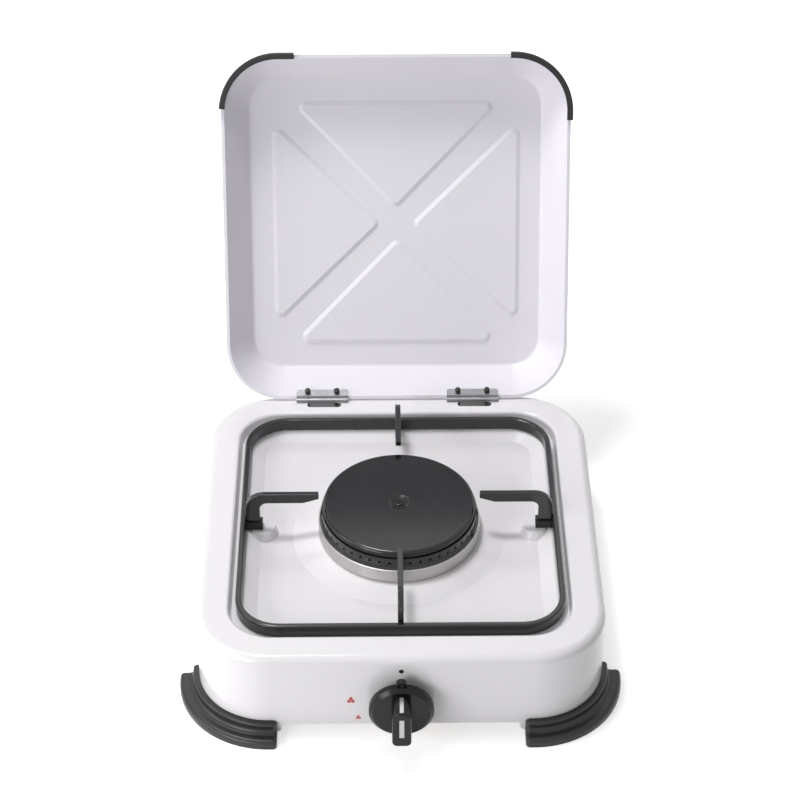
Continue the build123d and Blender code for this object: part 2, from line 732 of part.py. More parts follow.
with BuildPart() as tap_spring:
    with BuildSketch(Plane.XZ.offset(-wall_in - washer_back - washer_sheet)):
        with Locations((0, knob_z)):
            Circle(spring_outer)
            Circle(spring_inner, mode=Mode.SUBTRACT)
    extrude(amount=washer_back + washer_sheet - chamber_back)
keep(tap_spring, "tap_spring")

with BuildPart() as injector:
    with BuildSketch(Plane.XZ.offset(-tap_end)):
        with Locations((0, knob_z)):
            Circle(injector_thread)
    extrude(amount=-tap_boss_length)
    with BuildSketch(Plane.XZ.offset(-tap_end - tap_boss_length)):
        with Locations((0, knob_z)):
            RegularPolygon(injector_hex, 6)
    extrude(amount=-injector_hex_length)
    with BuildSketch(Plane.XZ.offset(-tap_end - tap_boss_length - injector_hex_length)):
        with Locations((0, knob_z)):
            Circle(injector_tip)
    extrude(amount=-injector_tip_length)
    with BuildSketch(Plane.XZ.offset(-tap_end)):
        with Locations((0, knob_z)):
            Circle(injector_bore)
    extrude(amount=-tap_boss_length - injector_hex_length - injector_tip_length, mode=Mode.SUBTRACT)
keep(injector, "injector")

mouth_y = tap_end + tap_boss_length + mouth_gap
tube_wide_y = -throat_radius - tube_straight
tube_throat_y = mouth_y + (tube_wide_y - mouth_y) / bell_share
with BuildPart() as mixing_tube:
    with BuildSketch(across):
        with BuildLine():
            Polyline((mouth_radius, mouth_y), (tube_throat, tube_throat_y), (tube_radius, tube_wide_y),
                     (tube_radius, -throat_radius + throat_wall),
                     (tube_radius - tube_wall, -throat_radius + throat_wall),
                     (tube_radius - tube_wall, tube_wide_y), (tube_throat - tube_wall, tube_throat_y),
                     (mouth_radius - tube_wall, mouth_y), close=True)
        make_face()
    revolve(axis=knob_axis)
keep(mixing_tube, "mixing_tube")

with BuildPart() as gas_pipe:
    with BuildLine():
        FilletPolyline((inlet_reach, inlet_y, knob_z), (pipe_x, inlet_y, knob_z),
                       (pipe_x, rear_y - spigot_nose + pipe_socket, knob_z), radius=pipe_bend)
    with BuildSketch(Plane(origin=(inlet_reach, inlet_y, knob_z), x_dir=(0, 1, 0), z_dir=(1, 0, 0))):
        Circle(pipe_radius)
        Circle(pipe_radius - pipe_wall, mode=Mode.SUBTRACT)
    sweep()
keep(gas_pipe, "gas_pipe")

with BuildPart() as pipe_nut:
    with BuildSketch(Plane.YZ.offset(inlet_reach - pipe_nut_lap)):
        with Locations((inlet_y, knob_z)):
            RegularPolygon(pipe_nut_size, 6)
            Circle(inlet_radius + run_gap, mode=Mode.SUBTRACT)
    extrude(amount=pipe_nut_lap)
    with BuildSketch(Plane.YZ.offset(inlet_reach)):
        with Locations((inlet_y, knob_z)):
            RegularPolygon(pipe_nut_size, 6)
            Circle(pipe_radius + run_gap, mode=Mode.SUBTRACT)
    extrude(amount=pipe_nut_lap)
keep(pipe_nut, "pipe_nut")

# Hose spigot through the rear wall: equal lands with grooves between them
with BuildPart() as hose_spigot:
    spigot_axis = Axis((pipe_x, 0, knob_z), (0, 1, 0))
    with BuildSketch(Plane.XZ.offset(-rear_y + spigot_nose)):
        with Locations((pipe_x, knob_z)):
            Circle(nose_radius)
    extrude(amount=-spigot_nose)
    with BuildSketch(Plane.XZ.offset(-rear_y)):
        with Locations((pipe_x, knob_z)):
            RegularPolygon(spigot_flange, 6)
    extrude(amount=-spigot_flange_length)
    with BuildSketch(Plane.XZ.offset(-rear_y - spigot_flange_length)):
        with Locations((pipe_x, knob_z)):
            Circle(spigot_land)
    extrude(amount=-spigot_length)
    chamfer(hose_spigot.faces().sort_by(Axis.Y)[-1].edges(), spigot_land - spigot_groove)
    for groove in range(spigot_grooves):
        groove_y = (rear_y + spigot_flange_length + spigot_land_length * (groove + 1)
                    + spigot_groove_length * groove)
        with BuildSketch(Plane.XZ.offset(-groove_y)):
            with Locations((pipe_x, knob_z)):
                Circle(spigot_land)
                Circle(spigot_groove, mode=Mode.SUBTRACT)
        extrude(amount=-spigot_groove_length, mode=Mode.SUBTRACT)
    with BuildSketch(Plane.XZ.offset(-rear_y + spigot_nose)):
        with Locations((pipe_x, knob_z)):
            Circle(pipe_radius + run_gap)
    extrude(amount=-pipe_socket, mode=Mode.SUBTRACT)
    with BuildSketch(Plane.XZ.offset(-rear_y + spigot_nose)):
        with Locations((pipe_x, knob_z)):
            Circle(spigot_bore)
    extrude(amount=-spigot_nose - spigot_flange_length - spigot_length, mode=Mode.SUBTRACT)
keep(hose_spigot, "hose_spigot")

with BuildPart() as spigot_nut:
    with BuildSketch(Plane.XZ.offset(-back_in)):
        with Locations((pipe_x, knob_z)):
            RegularPolygon(spigot_flange, 6)
            Circle(nose_radius + run_gap, mode=Mode.SUBTRACT)
    extrude(amount=spigot_nut_height)
keep(spigot_nut, "spigot_nut")


# Knob: hollow disc with a lug at the top of its rim, and a grip across it
disc_back = front_y - knob_gap
disc_front = disc_back - knob_rim - knob_bevel
grip_crest = knob_z + grip_lift + grip_height / 2
with BuildPart() as knob:
    with BuildSketch(across):
        with BuildLine():
            Polyline((0, disc_front), (knob_radius - knob_bevel, disc_front),
                     (knob_radius, disc_back - knob_rim), (knob_radius, disc_back),
                     (knob_radius - knob_skirt, disc_back),
                     (knob_radius - knob_skirt, disc_front + knob_skirt),
                     (hub_radius, disc_front + knob_skirt), (hub_radius, front_y - hub_gap),
                     (0, front_y - hub_gap), close=True)
        make_face()
    revolve(axis=knob_axis)
    with BuildSketch(Plane.XZ.offset(-disc_back)):
        with Locations((0, knob_z + knob_radius + lug_lift)):
            Circle(lug_radius)
    extrude(amount=knob_rim)
    with BuildSketch(Plane.XZ.offset(-disc_front)) as grip:
        with Locations((0, knob_z + grip_lift)):
            Rectangle(grip_width, grip_height)
        fillet(grip.vertices().group_by(Axis.Y)[-1], grip_top_corner)
        fillet(grip.vertices().group_by(Axis.Y)[0], grip_foot_corner)
    extrude(amount=disc_front - front_y + grip_reach)
    fillet(knob.faces().sort_by(Axis.Y)[0].edges(), grip_edge)
    with BuildSketch(Plane.XZ.offset(-front_y + hub_gap)):
        with Locations((0, knob_z)):
            Circle(stem_radius + run_gap)
    extrude(amount=stem_reach - hub_gap + run_gap, mode=Mode.SUBTRACT)
    with BuildSketch(Plane.XZ.offset(-disc_back)):
        with Locations((0, knob_z + knob_radius + lug_lift)):
            Circle(lug_bore)
    extrude(amount=knob_rim, mode=Mode.SUBTRACT)
    with BuildSketch(Plane.XZ.offset(-front_y + grip_reach)):
        with Locations((0, knob_z + pointer_lift)):
            Rectangle(pointer_width, pointer_length)
    extrude(amount=-pointer_depth, mode=Mode.SUBTRACT)
    with BuildSketch(Plane.XY.offset(grip_crest)):
        with Locations((0, (disc_front + front_y - grip_reach) / 2)):
            Rectangle(top_pointer_width, top_pointer_length)
    extrude(amount=-pointer_depth, mode=Mode.SUBTRACT)
keep(knob, "knob")

with BuildPart() as knob_pointer:
    with BuildSketch(Plane.XZ.offset(-front_y + grip_reach - pointer_depth)):
        with Locations((0, knob_z + pointer_lift)):
            Rectangle(pointer_width, pointer_length)
    extrude(amount=pointer_depth + pointer_proud)
    with BuildSketch(Plane.XY.offset(grip_crest - pointer_depth)):
        with Locations((0, (disc_front + front_y - grip_reach) / 2)):
            Rectangle(top_pointer_width, top_pointer_length)
    extrude(amount=pointer_depth + pointer_proud)
keep(knob_pointer, "knob_pointer")

with BuildPart() as knob_clip:
    with BuildSketch(Plane.XY.offset(knob_z + stem_flat)):
        with Locations((0, front_y - hub_gap - clip_length / 2)):
            Rectangle(clip_width, clip_length)
    extrude(amount=clip_sheet)
    with BuildSketch(Plane.XZ.offset(-front_y + hub_gap)):
        with Locations((0, knob_z)):
            Circle(stem_radius)
    extrude(amount=clip_length, mode=Mode.INTERSECT)
keep(knob_clip, "knob_clip")


# Lid: drawn closed in its own plane on the hinge axis, which is swung open
lid_plane = Plane(origin=(0, hinge_y, hinge_z)).rotated((-lid_open, 0, 0))
lid_rim = lid_plane.offset(lid_rise)
lid_lean = radians(lid_draft)


# Places on the lid's rear skirt, drawn closed: along it from the lip, and in from its outer face
def on_skirt(along, inward):
    y = lid_rear - lid_lip - along * sin(lid_lean) - inward * cos(lid_lean)
    z = lid_rise + along * cos(lid_lean) - inward * sin(lid_lean)
    return (y, z)


def leaf_meets(height, inward):
    """How far along the skirt a face that lies inward of it comes to a given height."""
    return (height - lid_rise + inward * sin(lid_lean)) / cos(lid_lean)


def lid_section(x):
    """Upright plane across the lid, in the closed lid's own directions."""
    return Plane(origin=(x, hinge_y, hinge_z), x_dir=lid_plane.y_dir, z_dir=(1, 0, 0))


skirt_dir = lid_plane.y_dir * -sin(lid_lean) + lid_plane.z_dir * cos(lid_lean)
skirt_normal = lid_plane.y_dir * cos(lid_lean) + lid_plane.z_dir * sin(lid_lean)
leaf_top = sheet + run_gap
leaf_under = leaf_top + leaf_sheet


def hinge_screw_plane(x):
    """On the outer face of the rear skirt, looking out."""
    y, z = on_skirt(hinge_screw_run, 0)
    return Plane(origin=lid_plane.from_local_coords((x, y, z)), x_dir=(1, 0, 0), z_dir=skirt_normal)


def lid_pressing(inset):
    side = lid_lip + inset / cos(lid_lean)
    with BuildPart() as pressed:
        with BuildSketch(lid_rim):
            with Locations((0, lid_mid)):
                RectangleRounded(lid_width - 2 * side, lid_length - 2 * side, lid_corner - side)
        extrude(amount=lid_depth - inset, taper=lid_draft)
        crown_axis = Axis(lid_plane.origin, lid_plane.z_dir)
        fillet(pressed.faces().sort_by(crown_axis)[-1].edges(), lid_crease - inset)
        with BuildSketch(lid_rim.offset(lid_depth - inset)) as panels:
            with Locations((0, lid_mid)):
                with PolarLocations(0, 4):
                    Polygon((panel_apex, 0), (panel_base, panel_half), (panel_base, -panel_half), align=None)
            fillet(panels.vertices(), panel_round)
        extrude(amount=-panel_press, taper=panel_draft, mode=Mode.SUBTRACT)
    return pressed.part


with BuildPart() as lid_shell:
    add(lid_pressing(0))
    with BuildSketch(lid_rim):
        with Locations((0, lid_mid)):
            RectangleRounded(lid_width, lid_length, lid_corner)
    extrude(amount=sheet)
    add(lid_pressing(sheet), mode=Mode.SUBTRACT)
    for side_x in (-hinge_x, hinge_x):
        for screw_x in (side_x - hinge_screw_pitch / 2, side_x + hinge_screw_pitch / 2):
            with BuildSketch(hinge_screw_plane(screw_x)):
                Circle(hinge_screw + fit_gap)
            extrude(amount=-2 * sheet, mode=Mode.SUBTRACT)
keep(lid_shell, "lid_shell")


# Corner guards: rubber channels over the lip at the two free corners, pads for the closed lid
guard_centre = lid_rim.from_local_coords((lid_width / 2 - lid_corner, lid_rear - lid_length + lid_corner, 0))
guard_pad = hinge_z + lid_rise - body_top - stop_gap


def guard_section():
    with BuildSketch() as section:
        with BuildLine():
            Polyline((lid_corner - guard_cover, -guard_pad), (lid_corner + guard_wall, -guard_pad),
                     (lid_corner + guard_wall, sheet + guard_upper),
                     (lid_corner - lid_lip + fit_gap, sheet + guard_upper),
                     (lid_corner - lid_lip + fit_gap, sheet + run_gap),
                     (lid_corner + run_gap, sheet + run_gap),
                     (lid_corner + run_gap, -run_gap), (lid_corner - guard_cover, -run_gap), close=True)
        make_face()
        outer = section.vertices().filter_by_position(Axis.X, lid_corner + guard_wall - near,
                                                      lid_corner + guard_wall + near)
        fillet(outer, guard_edge)
    return section.sketch


def guard(front_reach):
    """A right-hand guard that covers so much of the front edge and the rest of its length on the side."""
    side_reach = guard_length - front_reach
    side_short = max(0, degrees((lid_corner - side_reach) / lid_corner))
    across_side = Plane(origin=guard_centre, x_dir=lid_plane.x_dir, z_dir=-lid_plane.y_dir)
    across_front = Plane(origin=guard_centre, x_dir=-lid_plane.y_dir, z_dir=-lid_plane.x_dir)
    with BuildPart() as channel:
        with BuildSketch(across_front):
            add(guard_section())
        revolve(axis=Axis(guard_centre, lid_plane.z_dir), revolution_arc=90 - side_short)
        with BuildSketch(across_front):
            add(guard_section())
        extrude(amount=front_reach - lid_corner)
        if side_reach > lid_corner:
            with BuildSketch(across_side):
                add(guard_section())
            extrude(amount=lid_corner - side_reach)
    return channel.part


with BuildPart() as lid_guard_right:
    add(guard(right_guard_front))
keep(lid_guard_right, "lid_guard_right")

with BuildPart() as lid_guard_left:
    add(mirror(guard(left_guard_front), about=Plane.YZ))
keep(lid_guard_left, "lid_guard_left")


# Hinges: a leaf on the lid's skirt with two knuckles, a tongue through the rim with one between them
for side, side_x in (("left", -hinge_x), ("right", hinge_x)):
    end_width = (leaf_width - tongue_width) / 2 - knuckle_gap
    ends = (side_x - leaf_width / 2, side_x + leaf_width / 2 - end_width)
    with BuildPart() as hinge_leaf:
        with BuildSketch(lid_section(side_x - leaf_width / 2)):
            with BuildLine():
                Polyline((-knuckle - knuckle_gap, knuckle), on_skirt(leaf_meets(knuckle, leaf_top), leaf_top),
                         on_skirt(leaf_length, leaf_top), on_skirt(leaf_length, leaf_under),
                         on_skirt(leaf_meets(knuckle - leaf_sheet, leaf_under), leaf_under),
                         (-knuckle - knuckle_gap, knuckle - leaf_sheet), close=True)
            make_face()
        extrude(amount=leaf_width)
        far = hinge_leaf.edges().filter_by(Axis(lid_plane.origin, skirt_normal))
        fillet(far.sort_by(Axis(lid_plane.origin, skirt_dir))[-2:], leaf_corner)
        for end_x in ends:
            with BuildSketch(lid_section(end_x)):
                Circle(knuckle)
                with Locations((-knuckle - knuckle_gap, knuckle - leaf_sheet)):
                    Rectangle(knuckle + knuckle_gap, leaf_sheet, align=(Align.MIN, Align.MIN))
            extrude(amount=end_width)
            with BuildSketch(Plane.YZ.offset(end_x)):
                with Locations((hinge_y, hinge_z)):
                    Rectangle(knuckle, knuckle, align=(Align.MIN, Align.MAX))
            extrude(amount=end_width)
        with BuildSketch(lid_section(side_x - leaf_width / 2)):
            Circle(pin_radius + run_gap)
        extrude(amount=leaf_width, mode=Mode.SUBTRACT)
        for screw_x in (side_x - hinge_screw_pitch / 2, side_x + hinge_screw_pitch / 2):
            with BuildSketch(hinge_screw_plane(screw_x)):
                Circle(hinge_screw + fit_gap)
            extrude(amount=-2 * (sheet + leaf_sheet), mode=Mode.SUBTRACT)
    keep(hinge_leaf, f"hinge_leaf_{side}")

    with BuildPart() as hinge_tongue:
        with BuildSketch(Plane.YZ.offset(side_x - tongue_width / 2)):
            with Locations((hinge_y, hinge_z)):
                Circle(knuckle)
            with Locations((hinge_y - knuckle, tongue_foot)):
                Rectangle(leaf_sheet, hinge_z - tongue_foot, align=(Align.MIN, Align.MIN))
            with Locations((hinge_y, hinge_z)):
                Circle(pin_radius + run_gap, mode=Mode.SUBTRACT)
        extrude(amount=tongue_width)
    keep(hinge_tongue, f"hinge_tongue_{side}")

    with BuildPart() as hinge_pin:
        with BuildSketch(Plane.YZ.offset(side_x - leaf_width / 2)):
            with Locations((hinge_y, hinge_z)):
                Circle(pin_radius)
        extrude(amount=leaf_width)
    keep(hinge_pin, f"hinge_pin_{side}")

    with BuildPart() as hinge_bracket:
        tongue_back = hinge_y - knuckle + leaf_sheet
        with BuildSketch(Plane.YZ.offset(side_x - bracket_width / 2)):
            with BuildLine():
                Polyline((tongue_back, bracket_foot), (back_in, bracket_foot), (back_in, bracket_top),
                         (back_in - bracket_sheet, bracket_top),
                         (back_in - bracket_sheet, bracket_foot + bracket_sheet),
                         (tongue_back + bracket_sheet, bracket_foot + bracket_sheet),
                         (tongue_back + bracket_sheet, bracket_top), (tongue_back, bracket_top), close=True)
            make_face()
        extrude(amount=bracket_width)
    keep(hinge_bracket, f"hinge_bracket_{side}")

screw_places = [side_x + step for side_x in (-hinge_x, hinge_x)
                for step in (-hinge_screw_pitch / 2, hinge_screw_pitch / 2)]
with BuildPart() as hinge_screws:
    for screw_x in screw_places:
        with BuildSketch(hinge_screw_plane(screw_x)):
            Circle(hinge_screw_head)
        extrude(amount=hinge_screw)
        with BuildSketch(hinge_screw_plane(screw_x)):
            Circle(hinge_screw)
        extrude(amount=-leaf_under - hinge_nut_height + leaf_sheet)
keep(hinge_screws, "hinge_screws")

with BuildPart() as hinge_nut_one:
    Cylinder(hinge_nut, hinge_nut_height, align=(Align.CENTER, Align.CENTER, Align.MAX))
    fillet(hinge_nut_one.edges().group_by(Axis.Z)[0], hinge_nut / 2)
    Cylinder(hinge_screw + run_gap, hinge_nut_height - leaf_sheet,
             align=(Align.CENTER, Align.CENTER, Align.MAX), mode=Mode.SUBTRACT)

with BuildPart() as hinge_nuts:
    for screw_x in screw_places:
        add(hinge_nut_one.part.moved(hinge_screw_plane(screw_x).offset(-leaf_under).location))
keep(hinge_nuts, "hinge_nuts")
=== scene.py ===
# %% [markdown]
# # A table-top gas stove with one burner
# The CAD model already holds every piece in its place, so this lesson dresses it: enamel, moulded
# plastic, rubber, turned aluminium, plated steel and brass, with the small printed marks and the tap's
# coil spring made here. Everything is in metres, in the frame of the CAD model: the table is z = 0,
# the front with the knob looks along -Y and +X is to the right.

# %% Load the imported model
import bmesh
import bpy
import json
import math
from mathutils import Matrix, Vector


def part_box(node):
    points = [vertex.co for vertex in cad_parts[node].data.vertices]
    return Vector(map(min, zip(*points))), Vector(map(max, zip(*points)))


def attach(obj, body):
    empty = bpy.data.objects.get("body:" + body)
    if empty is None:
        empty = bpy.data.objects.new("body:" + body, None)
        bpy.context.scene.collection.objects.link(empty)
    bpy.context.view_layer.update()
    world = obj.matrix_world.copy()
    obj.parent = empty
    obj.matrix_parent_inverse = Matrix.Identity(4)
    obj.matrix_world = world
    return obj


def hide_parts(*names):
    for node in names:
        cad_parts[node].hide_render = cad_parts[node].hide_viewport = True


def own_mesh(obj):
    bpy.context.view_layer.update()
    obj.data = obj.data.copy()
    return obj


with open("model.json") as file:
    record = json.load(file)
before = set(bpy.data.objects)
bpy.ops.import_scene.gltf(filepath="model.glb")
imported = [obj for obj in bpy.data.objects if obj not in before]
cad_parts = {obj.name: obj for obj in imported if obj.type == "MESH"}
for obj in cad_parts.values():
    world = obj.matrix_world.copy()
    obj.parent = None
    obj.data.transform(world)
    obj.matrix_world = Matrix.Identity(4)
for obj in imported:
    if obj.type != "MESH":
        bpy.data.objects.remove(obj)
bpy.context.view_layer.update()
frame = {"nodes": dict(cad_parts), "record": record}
nodes = frame["nodes"]

# %% [markdown]
# ## Camera
# The stove is looked down on from the front with a long lens. The camera's height, distance and lens
# were worked out from the body's edges, its corners and the round burner, so that straight lines run
# together as they do in a product shot. A sensor 36 mm wide makes the lens a plain number.

# %% Camera
camera_place = Vector((-0.0122, -1.2123, 1.1315))
camera_aim = Vector((0.0083, 0.7859, -0.6183))
camera_lens = 101.46
sensor_width = 36.0
far_limit = 50.0


def turned_to(direction):
    """The turn that points a camera's or lamp's -Z axis along a direction."""
    return direction.to_track_quat("-Z", "Y").to_euler()


camera_data = bpy.data.cameras.new("camera")
camera_data.lens = camera_lens
camera_data.sensor_width = sensor_width
camera_data.clip_end = far_limit
camera = bpy.data.objects.new("camera", camera_data)
camera.location = camera_place
camera.rotation_euler = turned_to(camera_aim)
bpy.context.scene.collection.objects.link(camera)
bpy.context.scene.camera = camera
print("camera", round(camera_place.length, 3), "m from the stove's foot")

# %% [markdown]
# ## First helpers
# Every material here is a small tree of nodes, so a few helpers keep the cells short. One starts an
# empty material, one links two sockets, and one tells which rays come from something that looks at a
# surface: the camera, a mirror-like surface or glass. Light itself travels on the other rays.

# %% Helpers for materials
def link(tree, a, b):
    tree.links.new(a, b)


def new_material(name):
    material = bpy.data.materials.new(name)
    material.use_nodes = True
    material.node_tree.nodes.clear()
    return material, material.node_tree


def seen_rays(tree):
    """1 for rays from the camera, from glossy surfaces or through glass, 0 for the light itself."""
    path = tree.nodes.new("ShaderNodeLightPath")
    first = tree.nodes.new("ShaderNodeMath")
    first.operation = "MAXIMUM"
    second = tree.nodes.new("ShaderNodeMath")
    second.operation = "MAXIMUM"
    link(tree, path.outputs["Is Camera Ray"], first.inputs[0])
    link(tree, path.outputs["Is Glossy Ray"], first.inputs[1])
    link(tree, first.outputs[0], second.inputs[0])
    link(tree, path.outputs["Is Transmission Ray"], second.inputs[1])
    return second.outputs[0]


print("helpers ready")

# %% [markdown]
# ## Floor
# A product shot stands on a roll of white paper. Here it is one large plain sheet that takes the
# stove's shadow. A brighter lamp would bleach the stove as well, so the sheet gets a little glow that
# only the camera and reflections see, and that lifts it to the white of the paper.

# %% Floor
floor_white = (0.86, 0.86, 0.86, 1)
floor_glow = 0.60
reach = 12.0

floor_mat, tree = new_material("floor")
diffuse = tree.nodes.new("ShaderNodeBsdfDiffuse")
diffuse.inputs["Color"].default_value = floor_white
glow = tree.nodes.new("ShaderNodeEmission")
level = tree.nodes.new("ShaderNodeMath")
level.operation = "MULTIPLY"
level.inputs[1].default_value = floor_glow
link(tree, seen_rays(tree), level.inputs[0])
link(tree, level.outputs[0], glow.inputs["Strength"])
both = tree.nodes.new("ShaderNodeAddShader")
out = tree.nodes.new("ShaderNodeOutputMaterial")
link(tree, diffuse.outputs[0], both.inputs[0])
link(tree, glow.outputs[0], both.inputs[1])
link(tree, both.outputs[0], out.inputs["Surface"])

floor_mesh = bpy.data.meshes.new("floor")
corners = [(-reach, -reach, 0), (reach, -reach, 0), (reach, reach, 0), (-reach, reach, 0)]
floor_mesh.from_pydata(corners, [], [(0, 1, 2, 3)])
floor = bpy.data.objects.new("floor", floor_mesh)
floor_mesh.materials.append(floor_mat)
bpy.context.scene.collection.objects.link(floor)
print("floor white", floor_white[0], "glow", floor_glow)

# %% [markdown]
# ## World
# The room round the stove is seen at full white, by the camera and in shiny metal, but gives only a
# weak light of its own. A Map Range node picks between the two levels by the kind of ray. The Standard
# view shows each colour about as it is written.

# %% World
world_level = 0.20
seen_level = 1.0

world = bpy.data.worlds.new("studio")
bpy.context.scene.world = world
world.use_nodes = True
tree = world.node_tree
tree.nodes.clear()
background = tree.nodes.new("ShaderNodeBackground")
background.inputs["Color"].default_value = (1, 1, 1, 1)
strength = tree.nodes.new("ShaderNodeMapRange")
strength.inputs["To Min"].default_value = world_level
strength.inputs["To Max"].default_value = seen_level
out = tree.nodes.new("ShaderNodeOutputWorld")
link(tree, seen_rays(tree), strength.inputs["Value"])
link(tree, strength.outputs["Result"], background.inputs["Strength"])
link(tree, background.outputs[0], out.inputs["Surface"])
bpy.context.scene.view_settings.view_transform = "Standard"
print("world level", world_level, "seen as", seen_level)

# %% [markdown]
# ## Lamps
# Most lamps are wide, so that the enamel shows soft gradients instead of hot spots. The key on the left
# is a long, narrow strip: it draws the thin bright lines along rounded black edges. The lamp overhead
# is smaller, so the burner and the bars throw shadows with an edge to them.

# %% Lamps
lamps = {
    "key_left": dict(place=(-1.55, -0.75, 1.05), aim=(0.0, 0.02, 0.08), size=(1.5, 0.2), watts=6.2),
    "low_left": dict(place=(-1.7, -0.35, 0.45), aim=(0.0, 0.0, 0.1), size=(0.8, 0.7), watts=4.1),
    "near_front": dict(place=(-0.62, -0.80, 0.32), aim=(-0.05, -0.1, 0.05), size=(0.45, 0.45), watts=3.2),
    "overhead": dict(place=(-0.35, 0.3, 1.8), aim=(0.0, 0.0, 0.05), size=(0.4, 0.4), watts=17.2),
    "rear_top": dict(place=(-0.2, 1.5, 1.6), aim=(0.0, 0.0, 0.05), size=(1.4, 1.0), watts=2.8),
}
for name, lamp in lamps.items():
    data = bpy.data.lights.new(name, "AREA")
    data.shape = "RECTANGLE"
    data.size, data.size_y = lamp["size"]
    data.energy = lamp["watts"]
    lamp_object = bpy.data.objects.new(name, data)
    lamp_object.location = lamp["place"]
    lamp_object.rotation_euler = turned_to(Vector(lamp["aim"]) - Vector(lamp["place"]))
    bpy.context.scene.collection.objects.link(lamp_object)
print("lamps", list(lamps))

# %% [markdown]
# ## Effects that several finishes share
# Enamel, plastic and rubber all have a faint ripple or grain, all have gloss that varies where hands
# and cloths have been, and none is exactly one tone. Each effect is a node group with its sizes as
# inputs, in metres, so one group serves every finish at its own scale. These helpers make a group and
# the two kinds of node, sums and noises, that the groups are mostly built from.

# %% Helpers for node groups
NUMBER, COLOUR, VECTOR = "NodeSocketFloat", "NodeSocketColor", "NodeSocketVector"


def new_group(name, inputs, outputs):
    group = bpy.data.node_groups.new(name, "ShaderNodeTree")
    for label, kind, value in inputs:
        socket = group.interface.new_socket(name=label, in_out="INPUT", socket_type=kind)
        socket.default_value = value
    for label, kind in outputs:
        group.interface.new_socket(name=label, in_out="OUTPUT", socket_type=kind)
    return group, group.nodes.new("NodeGroupInput"), group.nodes.new("NodeGroupOutput")


def feed(tree, value, socket):
    """Write a number on a socket, or link another socket to it."""
    if isinstance(value, (int, float)):
        socket.default_value = value
    else:
        link(tree, value, socket)


def math_node(tree, operation, a, b):
    node = tree.nodes.new("ShaderNodeMath")
    node.operation = operation
    feed(tree, a, node.inputs[0])
    feed(tree, b, node.inputs[1])
    return node.outputs[0]


def noise_node(tree, place, scale, detail, roughness=0.5):
    node = tree.nodes.new("ShaderNodeTexNoise")
    link(tree, place, node.inputs["Vector"])
    feed(tree, scale, node.inputs["Scale"])
    feed(tree, detail, node.inputs["Detail"])
    feed(tree, roughness, node.inputs["Roughness"])
    return node.outputs["Fac"]


def per_metre(tree, size):
    """How many times a pattern of this size repeats in a metre."""
    return math_node(tree, "DIVIDE", 1.0, size)


print("socket kinds", NUMBER, COLOUR, VECTOR)

# %% [markdown]
# ### Ripple
# Fired enamel flows before it sets and moulded plastic copies the grain of its mould, so neither is
# perfectly smooth. Modelling that would take millions of faces. A bump of a hundredth of a millimetre,
# read from a noise, bends only the reflections, which is all that the eye sees of it.

# %% Surface ripple
ripple, g_in, g_out = new_group(
    "surface_ripple",
    [("Size", NUMBER, 0.003), ("Depth", NUMBER, 0.00001), ("Grain", NUMBER, 2.0)],
    [("Normal", VECTOR)])
coords = ripple.nodes.new("ShaderNodeTexCoord")
repeats = per_metre(ripple, g_in.outputs["Size"])
waves = noise_node(ripple, coords.outputs["Object"], repeats, detail=g_in.outputs["Grain"])
bump = ripple.nodes.new("ShaderNodeBump")
link(ripple, waves, bump.inputs["Height"])
link(ripple, g_in.outputs["Depth"], bump.inputs["Distance"])
link(ripple, bump.outputs["Normal"], g_out.inputs["Normal"])
print("group", ripple.name)

# %% [markdown]
# ### Gloss
# A used surface is a little duller where it is touched and wiped. Two noises, one in wide patches and
# one much closer, push the roughness up and down round its middle value. Both are needed: patches alone
# look like clouds, and fine specks alone look like dust.

# %% Handled gloss
wide_share = 1.4
close_share = 0.6
closer_by = 17.0

gloss, g_in, g_out = new_group(
    "handled_gloss",
    [("Roughness", NUMBER, 0.3), ("Spread", NUMBER, 0.05), ("Patch", NUMBER, 0.04)],
    [("Roughness", NUMBER)])
coords = gloss.nodes.new("ShaderNodeTexCoord")
repeats = per_metre(gloss, g_in.outputs["Patch"])
wide = noise_node(gloss, coords.outputs["Object"], repeats, detail=3.0)
closer = math_node(gloss, "MULTIPLY", repeats, closer_by)
close = noise_node(gloss, coords.outputs["Object"], closer, detail=2.0)
wide_part = math_node(gloss, "MULTIPLY", wide, wide_share)
close_part = math_node(gloss, "MULTIPLY", close, close_share)
mixed = math_node(gloss, "ADD", wide_part, close_part)
swing = math_node(gloss, "MULTIPLY", math_node(gloss, "SUBTRACT", mixed, 1.0), g_in.outputs["Spread"])
swing = math_node(gloss, "MULTIPLY", swing, 2.0)
link(gloss, math_node(gloss, "ADD", g_in.outputs["Roughness"], swing), g_out.inputs["Roughness"])
print("group", gloss.name)

# %% [markdown]
# ### Tone
# Even a plain coat is a shade lighter here and darker there. This group takes the finish's colour and
# moves its value by a small share, from a noise, and leaves the hue as it is.

# %% Tone drift
drift, g_in, g_out = new_group(
    "tone_drift",
    [("Color", COLOUR, (0.5, 0.5, 0.5, 1)), ("Drift", NUMBER, 0.05), ("Patch", NUMBER, 0.05)],
    [("Color", COLOUR)])
coords = drift.nodes.new("ShaderNodeTexCoord")
repeats = per_metre(drift, g_in.outputs["Patch"])
patch = noise_node(drift, coords.outputs["Object"], repeats, detail=4.0, roughness=0.6)
swing = math_node(drift, "MULTIPLY", math_node(drift, "SUBTRACT", patch, 0.5), g_in.outputs["Drift"])
value = math_node(drift, "ADD", 1.0, math_node(drift, "MULTIPLY", swing, 2.0))
tint = drift.nodes.new("ShaderNodeHueSaturation")
link(drift, g_in.outputs["Color"], tint.inputs["Color"])
link(drift, value, tint.inputs["Value"])
link(drift, tint.outputs["Color"], g_out.inputs["Color"])
print("group", drift.name)

# %% [markdown]
# ### Tool lines
# Metals share another kind of texture: fine lines left by a lathe, a brush or a rolling mill. The group
# is given a place that is already stretched along the lines, and returns the lines both as a value, for
# the tone, and as a bump.

